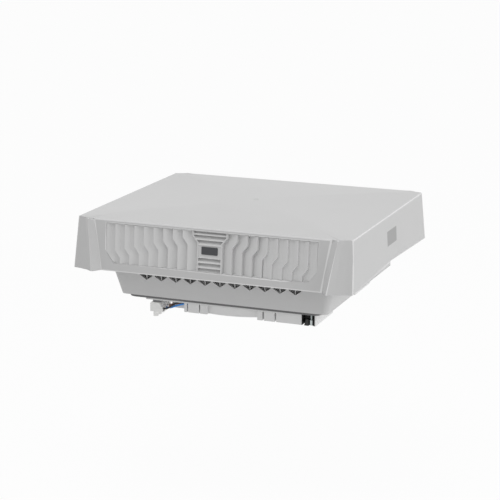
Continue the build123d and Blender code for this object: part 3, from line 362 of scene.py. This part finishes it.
@dataclass
class ThreadedScrew:
    """A clamp screw with its M5 thread.

    Attributes:
        index: the clamp's number.
        crest_mm: the thread's outer radius.
        root_mm: its root radius.
        pitch_mm: its pitch.
        low_mm: the height of its tip.
        high_mm: where the thread ends under the tray's floor.
        sides: the flats that stand for one turn.
        ridge_share: the radius of the ridge's section as a share of the pitch.
        crease: the greatest angle that is shaded as a curve, in degrees.
    """

    index: int
    crest_mm: float = 2.5
    root_mm: float = 2.08
    pitch_mm: float = 0.8
    low_mm: float = -16.6
    high_mm: float = 2.0
    sides: int = 20
    ridge_share: float = 0.57
    crease: float = 25.0

    def build(self) -> bpy.types.Object:
        """Cut the plain shank away, turn a core and wind the thread round it."""
        node = f"clamp_screw_{self.index}"
        lo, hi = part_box(node)
        axis = ((lo[0] + hi[0]) / 2, (lo[1] + hi[1]) / 2)
        piece = copy_of(node, node + "_threaded")
        cut_shank(piece, self.high_mm * MM)
        parts = [self.core(axis), self.ridge(axis)]
        activate(piece)
        for part in parts:
            part.select_set(True)
        bpy.ops.object.join()
        bpy.ops.object.shade_smooth_by_angle(angle=math.radians(self.crease))
        dress(piece, ZINC.make())
        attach(piece, f"screw_{self.index}")
        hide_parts(node)
        return piece

    def core(self, axis: tuple[float, float]) -> bpy.types.Object:
        """Turn the core between the thread's flanks.

        Args:
            axis: the screw's X and Y, in metres.
        """
        deselect()
        middle = (self.low_mm + self.high_mm) / 2 * MM
        bpy.ops.mesh.primitive_cylinder_add(vertices=self.sides, radius=self.root_mm * MM,
                                            depth=(self.high_mm - self.low_mm) * MM, location=(*axis, middle))
        bpy.ops.object.transform_apply()
        return bpy.context.object

    def ridge(self, axis: tuple[float, float]) -> bpy.types.Object:
        """Wind a three-sided ridge round the core.

        Args:
            axis: the screw's X and Y, in metres.
        """
        deselect()
        size = self.pitch_mm * self.ridge_share * MM
        low = self.low_mm * MM + size
        bpy.ops.mesh.primitive_circle_add(vertices=3, radius=size, location=(*axis, low),
                                          rotation=(math.radians(90), math.radians(90), 0))
        ridge = bpy.context.object
        bpy.ops.object.transform_apply(location=False)
        bpy.ops.object.mode_set(mode="EDIT")
        bpy.ops.mesh.select_all(action="SELECT")
        bpy.ops.transform.translate(value=(self.crest_mm * MM - size, 0, 0))
        bpy.ops.object.mode_set(mode="OBJECT")
        wind = ridge.modifiers.new("thread", "SCREW")
        wind.axis = "Z"
        wind.screw_offset = self.pitch_mm * MM
        wind.iterations = int((self.high_mm - self.low_mm - 2 * size / MM) / self.pitch_mm)
        wind.steps = self.sides
        wind.render_steps = self.sides
        bpy.ops.object.modifier_apply(modifier=wind.name)
        bpy.ops.object.transform_apply()
        log.info("thread %d has %d faces", self.index, len(ridge.data.polygons))
        return ridge


def cut_shank(piece: bpy.types.Object, height: float) -> None:
    """Take off what lies below a height and close the cut.

    Args:
        piece: the piece to cut.
        height: the height of the cut, in metres.
    """
    activate(piece)
    bpy.ops.object.mode_set(mode="EDIT")
    bpy.ops.mesh.select_all(action="SELECT")
    bpy.ops.mesh.bisect(plane_co=(0, 0, height), plane_no=(0, 0, -1), clear_outer=True, use_fill=True)
    bpy.ops.object.mode_set(mode="OBJECT")


@dataclass
class Lead:
    """One insulated lead from the terminal strip to the motor.

    Attributes:
        name: the CAD node that it stands for.
        finish: its insulation.
        points_mm: the route's points, as in the part's source.
        diameter_mm: the insulation's diameter.
        steps: the chords that measure one arc of the curve.
    """

    name: str
    finish: Finish
    points_mm: list[tuple[float, float, float]]
    diameter_mm: float = 2.4
    steps: int = 16

    def build(self) -> bpy.types.Object:
        curve = bpy.data.curves.new(self.name + "_insulated", "CURVE")
        curve.dimensions = "3D"
        line = curve.splines.new("NURBS")
        line.points.add(len(self.points_mm) - 1)
        for point, place in zip(line.points, self.points_mm):
            point.co = (place[0] * MM, place[1] * MM, place[2] * MM, 1.0)
        line.order_u = 3
        line.use_endpoint_u = True
        line.resolution_u = 12
        curve.bevel_depth = self.diameter_mm / 2 * MM
        curve.bevel_resolution = 4
        curve.use_fill_caps = True
        piece = bpy.data.objects.new(self.name + "_insulated", curve)
        bpy.context.scene.collection.objects.link(piece)
        piece.data.materials.append(self.finish.make())
        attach(piece, "base")
        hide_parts(self.name)
        log.info("%s is %.0f mm long", self.name, self.length() / MM)
        return piece

    def length(self) -> float:
        """Return the length of the curve through the points, in metres."""
        places = [Vector(point) * MM for point in self.points_mm]
        middles = [(a + b) / 2 for a, b in zip(places, places[1:])]
        stops = [places[0]] + middles[1:-1] + [places[-1]]
        total = 0.0
        for index, corner in enumerate(places[1:-1]):
            before, after = stops[index], stops[index + 1]
            last = before
            for step in range(1, self.steps + 1):
                t = step / self.steps
                spot = before * (1 - t) ** 2 + corner * 2 * t * (1 - t) + after * t ** 2
                total += (spot - last).length
                last = spot
        return total


class LeadSet:
    """The three leads, with the routes of the part's source."""

    BLACK = [
        (-95.5, -116.0, -17.0), (-86.0, -116.0, -16.6), (-74.0, -113.2, -6.4), (-60.0, -112.0, -5.4),
        (-48.0, -110.9, -5.2), (-38.5, -96.0, -6.6), (-30.5, -64.0, -6.7), (-14.0, -27.9, -6.0),
    ]
    BLUE = [
        (-95.5, -106.0, -17.0), (-86.0, -106.0, -17.6), (-74.0, -115.2, -10.6), (-60.0, -115.0, -6.0),
        (-46.5, -114.6, -6.0), (-35.0, -98.0, -6.7), (-26.5, -64.5, -6.6), (-10.8, -29.2, -6.0),
    ]
    BROWN = [
        (-95.5, -96.0, -17.0), (-87.2, -96.0, -16.4), (-85.4, -106.6, -12.4), (-76.0, -109.8, -9.0),
        (-60.0, -109.0, -5.4), (-50.8, -108.0, -5.4), (-42.0, -94.0, -6.6), (-34.5, -63.5, -6.8),
        (-17.2, -26.2, -6.0),
    ]

    def build(self) -> list[bpy.types.Object]:
        """Lay all three leads and return them."""
        leads = [Lead("lead_black", PVC_BLACK, self.BLACK), Lead("lead_blue", PVC_BLUE, self.BLUE),
                 Lead("lead_brown", PVC_BROWN, self.BROWN)]
        return [lead.build() for lead in leads]


@dataclass
class MetalWork:
    """CAD nodes whose shapes are right and which only take their finish."""

    finishes: dict[str, Finish] = field(default_factory=lambda: {
        "frame_screws": ZINC, "guard_screws": ZINC, "motor_screws": ZINC, "bracket_screw": ZINC,
        "fan_guard": WIRE_ZINC, "motor_flange": CAST_ALLOY, "stator_core": CORE_STEEL,
        "stator_winding": COPPER, "bearing_lower": GROUND_STEEL, "bearing_upper": GROUND_STEEL,
        "motor_shaft": GROUND_STEEL, "shaft_ring": CORE_STEEL, "rotor_cup": CUP_STEEL,
        "rotor_magnet": FERRITE, "impeller": IMPELLER_BLACK, "terminal_clamps": BRASS,
        "terminal_screws": ZINC, "clamp_nut_1": ZINC, "clamp_nut_2": ZINC, "clamp_nut_3": ZINC,
    })

    def build(self) -> None:
        """Dress each node."""
        made = {}
        for node, finish in self.finishes.items():
            if finish.name not in made:
                made[finish.name] = finish.make()
            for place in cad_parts[node].material_slots:
                place.material = made[finish.name]


@dataclass
class HoodMarks:
    """The moulding's gate mark on the crown and the bare label on the right wall.

    Attributes:
        crown_mm: the height of the crown's top.
        gate_mm: the radius of the gate's ring.
        ring_mm: the radius of the ring's section.
        foil_mm: the label's thickness.
        foil_corner_mm: the cut on the label's edges.
        label_mm: the label's length along the wall and its height.
        label_at: its middle along the wall and its height above the hood's edge.
        foot_mm: the wall's X at the hood's edge.
        lean_mm: how far the wall leans in over its height.
        wall_mm: the wall's height.
        edge_z: the height of the hood's edge.
    """

    crown_mm: float = 122.3
    gate_mm: float = 3.4
    ring_mm: float = 0.7
    foil_mm: float = 0.3
    foil_corner_mm: float = 0.1
    label_mm: tuple[float, float] = (42.0, 20.5)
    label_at: tuple[float, float] = (6.0, 39.5)
    foot_mm: float = 200.0
    lean_mm: float = 4.0
    wall_mm: float = 70.1
    edge_z: float = 46.0

    def build(self) -> None:
        """Make both marks; they ride on the hood."""
        for piece in (self.gate(), self.label()):
            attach(piece, "hood")

    def gate(self) -> bpy.types.Object:
        """Turn the gate's low ring."""
        deselect()
        bpy.ops.mesh.primitive_torus_add(major_segments=40, minor_segments=10, major_radius=self.gate_mm * MM,
                                         minor_radius=self.ring_mm * MM,
                                         location=(0, 0, (self.crown_mm - self.ring_mm / 2) * MM))
        ring = bpy.context.object
        ring.name = "hood_gate_ring"
        bpy.ops.object.transform_apply()
        bpy.ops.object.shade_smooth()
        dress(ring, HOOD_ABS.make())
        return ring

    def label(self) -> bpy.types.Object:
        """Cut the bare label and lay it on the wall."""
        deselect()
        lean = math.atan2(self.lean_mm, self.wall_mm)
        along, height = self.label_at
        place = Vector(((self.foot_mm - self.lean_mm * height / self.wall_mm) * MM, along * MM,
                        (self.edge_z + height) * MM))
        sides = (self.foil_mm * MM, self.label_mm[0] * MM, self.label_mm[1] * MM)
        bpy.ops.mesh.primitive_cube_add(size=1.0, location=place, rotation=(0, -lean, 0), scale=sides)
        label = bpy.context.object
        label.name = "side_label_bare"
        bpy.ops.object.transform_apply()
        edge = label.modifiers.new("cut_corners", "BEVEL")
        edge.width = self.foil_corner_mm * MM
        edge.segments = 1
        bpy.ops.object.modifier_apply(modifier=edge.name)
        dress(label, LABEL_FOIL.make())
        return label


def seen_rays(tree: bpy.types.NodeTree) -> bpy.types.NodeSocket:
    """Return a socket that is one for camera, glossy and transmission rays.

    Args:
        tree: the tree it goes in.
    """
    path = add_node(tree, "ShaderNodeLightPath")
    most = path.outputs["Is Camera Ray"]
    for name in ("Is Glossy Ray", "Is Transmission Ray"):
        either = add_node(tree, "ShaderNodeMath")
        either.operation = "MAXIMUM"
        tree.links.new(most, either.inputs[0])
        tree.links.new(path.outputs[name], either.inputs[1])
        most = either.outputs["Value"]
    return most


@dataclass(frozen=True)
class Panel:
    """One soft lamp.

    Attributes:
        name: the lamp's name.
        place: where it hangs, in metres.
        size: its side, in metres.
        watts: its power.
    """

    name: str
    place: tuple[float, float, float]
    size: float
    watts: float


@dataclass
class Studio:
    """Floor, soft light and the camera at the photograph's angle.

    Attributes:
        azimuth: the camera's turn from the front, in degrees.
        elevation: its height above the horizon, in degrees.
        distance: from the target, in metres.
        target: what it looks at.
        focal_px: the focal length in pixels of a 500 pixel frame.
        offset_px: the principal point's offset, right and down.
        floor_z: the height of the floor.
        floor_size: the side of the floor, in metres.
        floor_grey: the floor's linear colour under the lamps.
        white_share: how much of the floor is plain white to the camera; the rest takes the shadow.
        room_light: the strength of the room's even light.
        roll: the camera's turn about its own axis, in degrees.
        sensor_mm: the width of the sensor.
        frame_px: the width of the frame.
        far_clip: how far the camera sees, in metres.
        panels: the soft lamps.
    """

    azimuth: float = 21.18
    elevation: float = 13.86
    distance: float = 2.3444
    target: tuple[float, float, float] = (0.0, 0.0, 0.046)
    focal_px: float = 1655.7
    offset_px: tuple[float, float] = (5.92, 2.12)
    floor_z: float = -0.3
    floor_size: float = 60.0
    floor_grey: float = 0.9
    white_share: float = 0.94
    room_light: float = 0.6
    roll: float = 0.19
    sensor_mm: float = 36.0
    frame_px: float = 500.0
    far_clip: float = 50.0
    panels: tuple[Panel, ...] = (
        Panel("side_panel", (2.4, -0.3, 0.9), 1.4, 17.0),
        Panel("overhead_panel", (-0.1, -0.55, 1.3), 0.7, 4.6),
    )

    def build(self) -> None:
        """Make the floor, the lights, the world and the camera."""
        self.floor()
        self.world()
        for panel in self.panels:
            self.lamp(panel)
        self.camera()
        bpy.context.scene.view_settings.view_transform = "Standard"

    def floor(self) -> None:
        """Lay the plain pale floor, which keeps a faint shadow."""
        deselect()
        bpy.ops.mesh.primitive_plane_add(size=self.floor_size, location=(0, 0, self.floor_z))
        floor = bpy.context.object
        floor.name = "studio_floor"
        material = bpy.data.materials.new("floor_paper_white")
        material.use_nodes = True
        tree = material.node_tree
        shader = tree.nodes["Principled BSDF"]
        shader.inputs["Base Color"].default_value = (self.floor_grey, self.floor_grey, self.floor_grey, 1)
        shader.inputs["Roughness"].default_value = 1.0
        glow = add_node(tree, "ShaderNodeEmission", Strength=1.0)
        share = add_node(tree, "ShaderNodeMath")
        share.operation = "MULTIPLY"
        share.inputs[1].default_value = self.white_share
        tree.links.new(seen_rays(tree), share.inputs[0])
        mix = add_node(tree, "ShaderNodeMixShader")
        tree.links.new(share.outputs["Value"], mix.inputs["Fac"])
        tree.links.new(shader.outputs["BSDF"], mix.inputs[1])
        tree.links.new(glow.outputs["Emission"], mix.inputs[2])
        tree.links.new(mix.outputs["Shader"], tree.nodes["Material Output"].inputs["Surface"])
        floor.data.materials.append(material)

    def world(self) -> None:
        """Fill the room with plain light and a white background."""
        world = bpy.data.worlds.new("studio_room")
        bpy.context.scene.world = world
        world.use_nodes = True
        tree = world.node_tree
        room = tree.nodes["Background"]
        room.inputs["Strength"].default_value = self.room_light
        room.inputs["Color"].default_value = (1, 1, 1, 1)
        white = add_node(tree, "ShaderNodeBackground", Strength=1.0)
        white.inputs["Color"].default_value = (1, 1, 1, 1)
        mix = add_node(tree, "ShaderNodeMixShader")
        tree.links.new(seen_rays(tree), mix.inputs["Fac"])
        tree.links.new(room.outputs["Background"], mix.inputs[1])
        tree.links.new(white.outputs["Background"], mix.inputs[2])
        tree.links.new(mix.outputs["Shader"], tree.nodes["World Output"].inputs["Surface"])

    def lamp(self, panel: Panel) -> None:
        """Hang one soft panel that faces the fan."""
        data = bpy.data.lights.new(panel.name, "AREA")
        data.size = panel.size
        data.energy = panel.watts
        lamp = bpy.data.objects.new(panel.name, data)
        bpy.context.scene.collection.objects.link(lamp)
        lamp.location = panel.place
        aim = Vector(self.target) - Vector(panel.place)
        lamp.rotation_euler = aim.to_track_quat("-Z", "Y").to_euler()

    def camera(self) -> None:
        """Place the camera that the photograph was taken with."""
        data = bpy.data.cameras.new("photo_camera")
        data.sensor_width = self.sensor_mm
        data.lens = self.focal_px / self.frame_px * self.sensor_mm
        data.shift_x = -self.offset_px[0] / self.frame_px
        data.shift_y = self.offset_px[1] / self.frame_px
        data.clip_end = self.far_clip
        camera = bpy.data.objects.new("photo_camera", data)
        bpy.context.scene.collection.objects.link(camera)
        turn, rise = math.radians(self.azimuth), math.radians(self.elevation)
        back = Vector((math.sin(turn) * math.cos(rise), -math.cos(turn) * math.cos(rise), math.sin(rise)))
        camera.location = Vector(self.target) + back * self.distance
        level = (-back).to_track_quat("-Z", "Y")
        camera.rotation_euler = (level @ Quaternion((0, 0, 1), math.radians(self.roll))).to_euler()
        bpy.context.scene.camera = camera


def main() -> None:
    """Build every piece in order and report it."""
    logging.basicConfig(level=logging.INFO, format="%(name)s: %(message)s")
    mouldings = [
        # The hood and louvres carry a painted highlight on their rounded edges
        Moulding("hood", "hood", HOOD_ABS, 1.5, segments=3, angle=24.0, highlight_finish=EDGE_HIGHLIGHT_ABS, least_mm=24.0),
        Moulding("louvre_front", "hood", LOUVRE_ABS, 0.5, segments=1, smooth=20.0, highlight_finish=EDGE_HIGHLIGHT_ABS),
        Moulding("louvre_rear", "hood", LOUVRE_ABS, 0.5, segments=1, smooth=20.0, highlight_finish=EDGE_HIGHLIGHT_ABS),
        Moulding("name_badge", "hood", BADGE_INK, 0.25),
        Moulding("base_tray", "base", TRAY_ABS, 0.6),
        Moulding("mounting_collar", "base", COLLAR_ABS, 0.5),
        Moulding("fan_duct", "base", COLLAR_ABS, 0.4),
        Moulding("roof_gasket", "base", GASKET_FOAM, 0.5),
        Moulding("clamp_guides", "base", NYLON_BLACK, 0.2),
        Moulding("terminal_block", "base", NYLON_WHITE, 0.35),
        Moulding("terminal_bracket", "base", BRACKET_GREY, 0.35),
    ]
    for index in (1, 2, 3):
        mouldings.append(Moulding(f"corner_block_{index}", "base", COLLAR_ABS, 0.4))
        mouldings.append(Moulding(f"clamp_jaw_{index}", f"jaw_{index}", NYLON_BLACK, 0.4))
    for moulding in mouldings:
        moulding.build()
    for index in (1, 2, 3):
        ThreadedScrew(index).build()
    LeadSet().build()
    MetalWork().build()
    HoodMarks().build()
    Studio().build()


if __name__ == "__main__":
    main()
